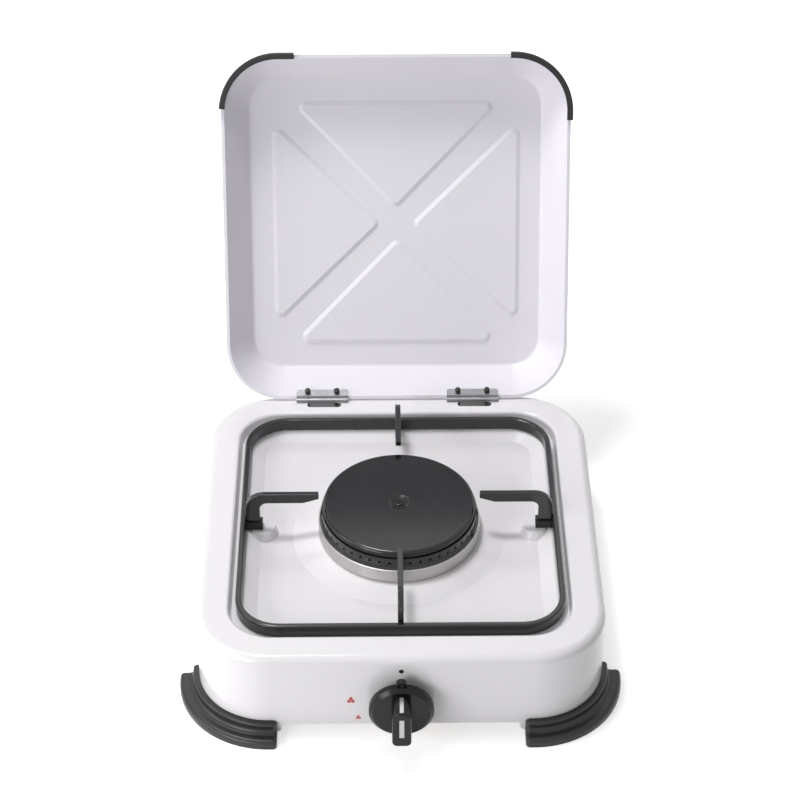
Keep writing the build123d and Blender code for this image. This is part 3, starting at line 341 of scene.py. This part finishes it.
# %% Tool lines
lines, g_in, g_out = new_group(
    "tool_lines",
    [("Place", VECTOR, (0, 0, 0)), ("Depth", NUMBER, 0.00001)],
    [("Lines", NUMBER), ("Normal", VECTOR)])
track = noise_node(lines, g_in.outputs["Place"], scale=1.0, detail=6.0, roughness=0.65)
bump = lines.nodes.new("ShaderNodeBump")
link(lines, track, bump.inputs["Height"])
link(lines, g_in.outputs["Depth"], bump.inputs["Distance"])
link(lines, track, g_out.inputs["Lines"])
link(lines, bump.outputs["Normal"], g_out.inputs["Normal"])
print("groups", [g.name for g in bpy.data.node_groups])

# %% [markdown]
# ## Coated finishes
# Coated finishes (enamel, plastic, rubber, print) all use the three soft groups in front of one
# Principled shader, so a short function makes them. Vitreous enamel is glass fused to steel: a clear,
# hard gloss over an even colour with a slow ripple. Moulded plastic has a finer grain and a satin
# sheen, and rubber is duller still.

# %% A coated finish
def place_group(tree, group, **values):
    node = tree.nodes.new("ShaderNodeGroup")
    node.node_tree = group
    for label, value in values.items():
        node.inputs[label].default_value = value
    return node


def shader(tree, metallic):
    bsdf = tree.nodes.new("ShaderNodeBsdfPrincipled")
    bsdf.inputs["Metallic"].default_value = metallic
    out = tree.nodes.new("ShaderNodeOutputMaterial")
    link(tree, bsdf.outputs[0], out.inputs["Surface"])
    return bsdf


def coated(name, colour, tone, patch, rough, spread, wave, depth, grain=2.0, specular=0.5):
    """Tone and gloss drift in patches; the ripple has its own wave, depth and grain."""
    material, tree = new_material(name)
    bsdf = shader(tree, 0.0)
    bsdf.inputs["Specular IOR Level"].default_value = specular
    toned = place_group(tree, drift, Color=(*colour, 1), Drift=tone, Patch=patch)
    shine = place_group(tree, gloss, Roughness=rough, Spread=spread, Patch=patch)
    waves = place_group(tree, ripple, Size=wave, Depth=depth, Grain=grain)
    link(tree, toned.outputs["Color"], bsdf.inputs["Base Color"])
    link(tree, shine.outputs["Roughness"], bsdf.inputs["Roughness"])
    link(tree, waves.outputs["Normal"], bsdf.inputs["Normal"])
    return material


print("coated finishes use", drift.name, gloss.name, ripple.name)

# %% [markdown]
# ### Enamel
# The body and the lid are white enamel, and the pan support, the crown and the cap are black. The lid's
# white is a copy of the body's, a shade cooler and bluer: painted shade, for the cool shade that falls on
# the lid. The cap is a softer, deeper black than the bars round it.

# %% Enamels
white_coat = dict(tone=0.008, patch=0.12, rough=0.16, spread=0.03, wave=0.006, depth=0.00002)
enamel_white = coated("enamel_white", colour=(0.876, 0.858, 0.880), **white_coat)
# Painted shade: the lid's copy of the white is cooler and bluer than the body's.
lid_white_painted_shade = coated("lid_white_painted_shade", colour=(0.868, 0.845, 0.910), **white_coat)
enamel_black = coated(
    "enamel_black", colour=(0.017, 0.0161, 0.0173), tone=0.12, patch=0.03, rough=0.11, spread=0.02,
    wave=0.0025, depth=0.00001, specular=0.55)
cap_black = coated(
    "cap_black", colour=(0.0060, 0.0054, 0.0055), tone=0.10, patch=0.04, rough=0.16, spread=0.03,
    wave=0.0018, depth=0.000008)
print("enamels", enamel_white.name, lid_white_painted_shade.name, enamel_black.name, cap_black.name)

# %% [markdown]
# ### Plastic, rubber and print
# The feet are moulded with a satin grain, and the knob is smoother and darker. The guards on the lid's
# corners and the boots of the pan support are rubber. Blackened nuts and printed marks are thin coats
# too, so the same function serves for them.

# %% Plastics, rubber and print
foot_plastic = coated(
    "foot_plastic", colour=(0.024, 0.0225, 0.0230), tone=0.08, patch=0.03, rough=0.32, spread=0.05,
    wave=0.0007, depth=0.000015, grain=3.0, specular=0.42)
knob_plastic = coated(
    "knob_plastic", colour=(0.0060, 0.0056, 0.0057), tone=0.08, patch=0.02, rough=0.22, spread=0.04,
    wave=0.0006, depth=0.000008, grain=3.0, specular=0.28)
guard_rubber = coated(
    "guard_rubber", colour=(0.016, 0.016, 0.0165), tone=0.10, patch=0.02, rough=0.55, spread=0.06,
    wave=0.0008, depth=0.00003, grain=4.0, specular=0.4)
nut_black = coated(
    "nut_black", colour=(0.010, 0.010, 0.0105), tone=0.10, patch=0.01, rough=0.25, spread=0.05,
    wave=0.001, depth=0.00002)
print_coat = dict(tone=0.05, patch=0.01, spread=0.05, wave=0.0005, depth=0.000005)
print_black = coated("print_black", colour=(0.012, 0.012, 0.012), rough=0.35, **print_coat)
print_red = coated("print_red", colour=(0.60, 0.045, 0.05), rough=0.38, **print_coat)
print("coated finishes", [m.name for m in bpy.data.materials])

# %% [markdown]
# ## Metal finishes
# Metals keep the mark of the tool that made them. The burner's ring is turned on a lathe, so its lines
# run round the burner: the pattern is read in radius, height and a slow angle. Hinge leaves are cut
# from rolled strip, whose lines run along X, and round bar and tube show lines along their length. A
# Mapping node stretches the pattern, so one function makes all of them.

# %% A metal finish
slow_angle = 0.02
metal_drift = dict(Drift=0.06, Patch=0.012)
gloss_patch = 0.02
darkest = 0.90
streak_share = 0.2


def round_place(tree, place):
    """Turns a place into its radius from the Z axis, its angle, slowed down, and its height."""
    parts = tree.nodes.new("ShaderNodeSeparateXYZ")
    link(tree, place, parts.inputs[0])
    x, y, z = parts.outputs
    x_squared = math_node(tree, "MULTIPLY", x, x)
    y_squared = math_node(tree, "MULTIPLY", y, y)
    radius = math_node(tree, "POWER", math_node(tree, "ADD", x_squared, y_squared), 0.5)
    angle = math_node(tree, "ARCTAN2", y, x)
    ring = tree.nodes.new("ShaderNodeCombineXYZ")
    link(tree, radius, ring.inputs[0])
    link(tree, math_node(tree, "MULTIPLY", angle, slow_angle), ring.inputs[1])
    link(tree, z, ring.inputs[2])
    return ring.outputs[0]


def metal(name, colour, rough, spread, depth, stretch, turned=False):
    """Stretch is the lines' size along X, Y and Z, or in radius, angle and height where turned."""
    material, tree = new_material(name)
    bsdf = shader(tree, 1.0)
    coords = tree.nodes.new("ShaderNodeTexCoord")
    place = coords.outputs["Object"]
    if turned:
        place = round_place(tree, place)
    scaled = tree.nodes.new("ShaderNodeMapping")
    scaled.vector_type = "TEXTURE"
    scaled.inputs["Scale"].default_value = stretch
    link(tree, place, scaled.inputs["Vector"])
    marks = place_group(tree, lines, Depth=depth)
    link(tree, scaled.outputs[0], marks.inputs["Place"])
    toned = place_group(tree, drift, Color=(*colour, 1), **metal_drift)
    shade = tree.nodes.new("ShaderNodeHueSaturation")
    link(tree, toned.outputs["Color"], shade.inputs["Color"])
    streaks = math_node(tree, "MULTIPLY", marks.outputs["Lines"], streak_share)
    link(tree, math_node(tree, "ADD", darkest, streaks), shade.inputs["Value"])
    link(tree, shade.outputs["Color"], bsdf.inputs["Base Color"])
    shine = place_group(tree, gloss, Roughness=rough, Spread=spread, Patch=gloss_patch)
    link(tree, shine.outputs["Roughness"], bsdf.inputs["Roughness"])
    link(tree, marks.outputs["Normal"], bsdf.inputs["Normal"])
    return material


print("metals use", lines.name, drift.name, gloss.name)

# %% [markdown]
# ### Aluminium, steel and brass
# The bright ring is bare aluminium, the hinges are zinc-plated steel and the knob's pointer is a
# silvered strip. The tap, the injector and the hose spigot are brass, and the mixing tube, the gas
# pipe and the spring are steel. Colour and roughness tell them apart more than the lines do.

# %% Metals
bowl_aluminium = metal(
    "bowl_aluminium", colour=(0.50, 0.487, 0.483), rough=0.34, spread=0.05, depth=0.000012,
    stretch=(0.0004, 0.004, 0.0004), turned=True)
zinc_steel = metal(
    "zinc_steel", colour=(0.28, 0.28, 0.29), rough=0.36, spread=0.06, depth=0.00001,
    stretch=(0.02, 0.0005, 0.0005))
pointer_silver = metal(
    "pointer_silver", colour=(0.42, 0.42, 0.43), rough=0.32, spread=0.05, depth=0.000008,
    stretch=(0.0004, 0.01, 0.01))
tap_brass = metal(
    "tap_brass", colour=(0.78, 0.60, 0.31), rough=0.34, spread=0.06, depth=0.00001,
    stretch=(0.0006, 0.0006, 0.0006))
tube_steel = metal(
    "tube_steel", colour=(0.50, 0.50, 0.51), rough=0.40, spread=0.06, depth=0.00001,
    stretch=(0.001, 0.03, 0.001))
spring_steel = metal(
    "spring_steel", colour=(0.42, 0.42, 0.43), rough=0.35, spread=0.06, depth=0.00001,
    stretch=(0.002, 0.002, 0.002))
print("metals", bowl_aluminium.name, zinc_steel.name, tap_brass.name)

# %% [markdown]
# ## Dressing the CAD pieces
# Each CAD node carries the name of a finish in the imported record, so the finishes are handed out by
# that name and no piece can be forgotten. The cap then gets its own black, and the lid the cooler copy
# of the white, with its painted shade.

# %% Hand out the finishes
finishes = {
    "enamel_white": enamel_white, "enamel_black": enamel_black, "boot_black": guard_rubber,
    "foot_plastic": foot_plastic, "guard_rubber": guard_rubber, "bowl_aluminium": bowl_aluminium,
    "knob_plastic": knob_plastic, "pointer_silver": pointer_silver, "zinc_steel": zinc_steel,
    "nut_black": nut_black, "tap_brass": tap_brass, "tube_steel": tube_steel, "spring_steel": spring_steel,
}
for entry in frame["record"]["subparts"]:
    mesh = nodes[entry["node"]].data
    mesh.materials.clear()
    mesh.materials.append(finishes[entry["material_slot"]])
nodes["burner_cap"].data.materials[0] = cap_black
# The lid's cooler white is painted shade.
nodes["lid_shell"].data.materials[0] = lid_white_painted_shade

# %% [markdown]
# ## Printed marks
# The wall by the knob carries printed marks: a black dot for off, a large flame for full and a small
# one for low. Print is a skin of paint a few hundredths of a millimetre thick. Each mark is drawn as an
# outline in the plane of the wall and given that thickness, so it is a closed solid on the enamel.

# %% A printed mark
wall_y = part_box("body_shell")[0].y
paint = 0.00006


def printed(name, outlines, material):
    """Outlines are loops of (x, z) in metres, printed on the front wall."""
    mesh = bpy.data.meshes.new(name)
    build = bmesh.new()
    for loop in outlines:
        front = [build.verts.new((x, wall_y - paint, z)) for x, z in loop]
        back = [build.verts.new((x, wall_y, z)) for x, z in loop]
        build.faces.new(front)
        build.faces.new(list(reversed(back)))
        for i in range(len(loop)):
            j = (i + 1) % len(loop)
            build.faces.new((front[j], front[i], back[i], back[j]))
    bmesh.ops.recalc_face_normals(build, faces=build.faces)
    build.to_mesh(mesh)
    build.free()
    mesh.materials.append(material)
    piece = bpy.data.objects.new(name, mesh)
    bpy.context.scene.collection.objects.link(piece)
    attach(piece, "body")
    return piece


print("marks are printed at y", round(wall_y, 5))

# %% [markdown]
# ### Off dot
# The dot over the knob shows where the knob's pointer stands when the gas is off. It is a plain disc,
# drawn with a point every ten degrees.

# %% Off dot
dot_radius = 0.0017
dot_height = 0.0594
turns = [math.radians(angle) for angle in range(0, 360, 10)]
dot = [(dot_radius * math.cos(turn), dot_height + dot_radius * math.sin(turn)) for turn in turns]
printed("off_dot", [dot], print_black)
print("dot", round(2000 * dot_radius, 2), "mm across")

# %% [markdown]
# ### Flames
# A flame mark is three drops, one upright over two that lean out. A drop could be traced by hand, but
# a formula keeps it smooth at any size: the width swells with the sine of the turn and is drawn in to
# a point at the top. The shares below are of the whole flame's height.

# %% Flames
drop_points = 24
widest = 0.77        # greatest value of sin(t) * sin(t / 2)
top_drop = dict(rise=0.20, length=0.62, width=0.42)
side_drop = dict(rise=-0.22, length=0.52, width=0.40)
side_step = 0.25
side_lean = 35


def drop(x, z, length, width, lean):
    """A drop round its middle (x, z), with its point up, leaning to the right by so many degrees."""
    c = math.cos(math.radians(lean))
    s = math.sin(math.radians(lean))
    loop = []
    for i in range(drop_points):
        turn = 2 * math.pi * i / drop_points
        across = width / (2 * widest) * math.sin(turn) * math.sin(turn / 2)
        along = length / 2 * math.cos(turn)
        loop.append((x + c * across + s * along, z - s * across + c * along))
    return loop


def flame(x, z, height):
    drops = []
    for side, share in ((0, top_drop), (-1, side_drop), (1, side_drop)):
        place = (x + side * side_step * height, z + share["rise"] * height)
        length = share["length"] * height
        width = share["width"] * height
        drops.append(drop(*place, length, width, side * side_lean))
    return drops


full_place = (-0.034, 0.0330)
full_height = 0.0061
low_place = (-0.0292, 0.0165)
low_height = 0.0042
flame_full = printed("flame_full", flame(*full_place, full_height), print_red)
flame_low = printed("flame_low", flame(*low_place, low_height), print_red)
print("flames", len(flame_full.data.polygons), "and", len(flame_low.data.polygons), "faces")

# %% [markdown]
# ## The tap's coil spring
# Behind the thrust washer a small coil of spring wire pushes the stem and knob out again. The CAD
# model holds the room it takes as a plain sleeve. Here it is wound: a spiral with the wire's section
# swept along it. Geometry Nodes make turns, wire and radius named inputs, so the same recipe would wind
# any spring.

# %% The spring's recipe
room_low, room_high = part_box("tap_spring")
wire = 0.00045
wire_sides = 12
points_a_turn = 40
room_height = (room_low.z + room_high.z) / 2
coil_inputs = {
    "Turns": 5.0,
    "Coil Radius": (room_high.x - room_low.x) / 2 - wire,
    "Length": room_high.y - room_low.y - 2 * wire,
    "Wire Radius": wire,
}

tree = bpy.data.node_groups.new("coil_spring", "GeometryNodeTree")
tree.interface.new_socket(name="Geometry", in_out="INPUT", socket_type="NodeSocketGeometry")
sockets = {}
for label in coil_inputs:
    sockets[label] = tree.interface.new_socket(name=label, in_out="INPUT", socket_type=NUMBER)
finish_socket = tree.interface.new_socket(name="Finish", in_out="INPUT", socket_type="NodeSocketMaterial")
tree.interface.new_socket(name="Geometry", in_out="OUTPUT", socket_type="NodeSocketGeometry")
g_in = tree.nodes.new("NodeGroupInput")
g_out = tree.nodes.new("NodeGroupOutput")
spiral = tree.nodes.new("GeometryNodeCurveSpiral")
spiral.inputs["Resolution"].default_value = points_a_turn
link(tree, g_in.outputs["Turns"], spiral.inputs["Rotations"])
link(tree, g_in.outputs["Coil Radius"], spiral.inputs["Start Radius"])
link(tree, g_in.outputs["Coil Radius"], spiral.inputs["End Radius"])
link(tree, g_in.outputs["Length"], spiral.inputs["Height"])
section = tree.nodes.new("GeometryNodeCurvePrimitiveCircle")
section.inputs["Resolution"].default_value = wire_sides
link(tree, g_in.outputs["Wire Radius"], section.inputs["Radius"])
wound = tree.nodes.new("GeometryNodeCurveToMesh")
wound.inputs["Fill Caps"].default_value = True
link(tree, spiral.outputs["Curve"], wound.inputs["Curve"])
link(tree, section.outputs["Curve"], wound.inputs["Profile Curve"])
placed = tree.nodes.new("GeometryNodeTransform")
placed.inputs["Rotation"].default_value = (-math.pi / 2, 0, 0)
placed.inputs["Translation"].default_value = (0, room_low.y + wire, room_height)
link(tree, wound.outputs["Mesh"], placed.inputs["Geometry"])
real = tree.nodes.new("GeometryNodeRealizeInstances")
link(tree, placed.outputs["Geometry"], real.inputs["Geometry"])
painted = tree.nodes.new("GeometryNodeSetMaterial")
link(tree, real.outputs["Geometry"], painted.inputs["Geometry"])
link(tree, g_in.outputs["Finish"], painted.inputs["Material"])
link(tree, painted.outputs["Geometry"], g_out.inputs["Geometry"])
print("recipe", tree.name, {label: round(value, 5) for label, value in coil_inputs.items()})

# %% [markdown]
# ### Winding it
# The recipe runs once, on an empty helper object, and the result is frozen into a plain mesh that takes
# the place of the sleeve.

# %% Wind the spring
maker = bpy.data.objects.new("coil_maker", bpy.data.meshes.new("coil_maker"))
bpy.context.scene.collection.objects.link(maker)
modifier = maker.modifiers.new("wind", "NODES")
modifier.node_group = tree
for label, value in coil_inputs.items():
    modifier[sockets[label].identifier] = value
modifier[finish_socket.identifier] = spring_steel
graph = bpy.context.evaluated_depsgraph_get()
coil_mesh = bpy.data.meshes.new_from_object(maker.evaluated_get(graph))
bpy.data.objects.remove(maker)
coil_mesh.name = "coil_spring"
coil = bpy.data.objects.new("coil_spring", coil_mesh)
bpy.context.scene.collection.objects.link(coil)
for polygon in coil_mesh.polygons:
    polygon.use_smooth = True
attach(coil, "body")
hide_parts("tap_spring")
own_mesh(coil)
print("spring", len(coil_mesh.polygons), "faces,", round(coil_inputs["Length"] * 1000, 2), "mm long")
